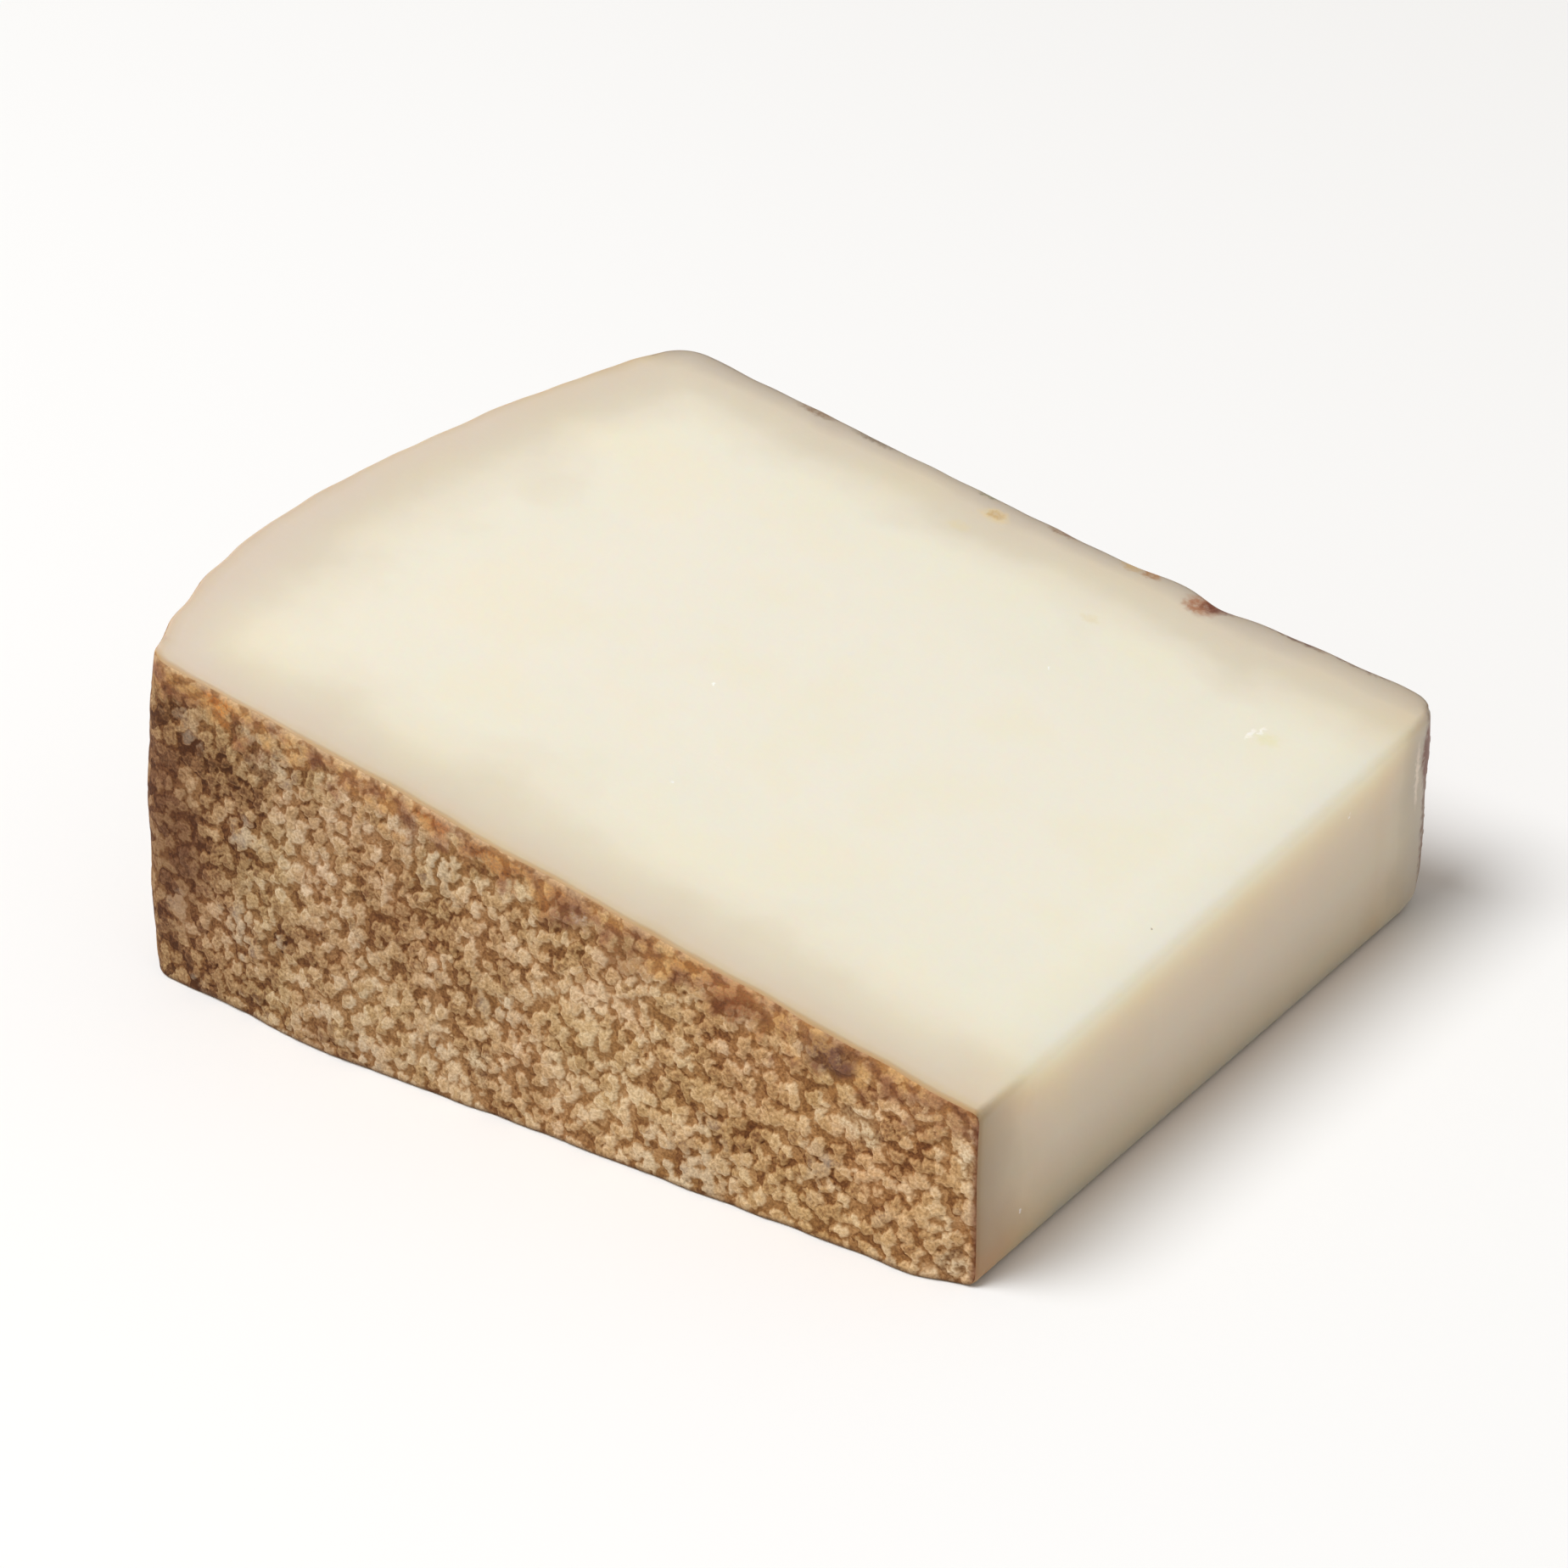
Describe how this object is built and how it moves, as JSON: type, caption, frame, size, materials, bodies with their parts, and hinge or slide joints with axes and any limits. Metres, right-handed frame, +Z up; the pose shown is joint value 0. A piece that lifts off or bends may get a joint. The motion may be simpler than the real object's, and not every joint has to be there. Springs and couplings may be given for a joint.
{
  "type": "mountain cheese wedge",
  "caption": "Wedge of pale hard mountain cheese with a grainy brown natural rind on its heel and both broad faces, lying on a cut face.",
  "frame": {"origin": "on the floor, under the middle of the wedge's bounding box", "axes": "+X from the rind of the heel to the cut-off nose, +Y from the broad rind face that the picture shows to the far one, +Z up, out of the upper cut"},
  "size_m": [0.1376, 0.1157, 0.0523],
  "materials": {
    "cheese": "satin"
  },
  "bodies": {
    "root": {"cheese_wedge": "cheese"}
  },
  "joints": []
}
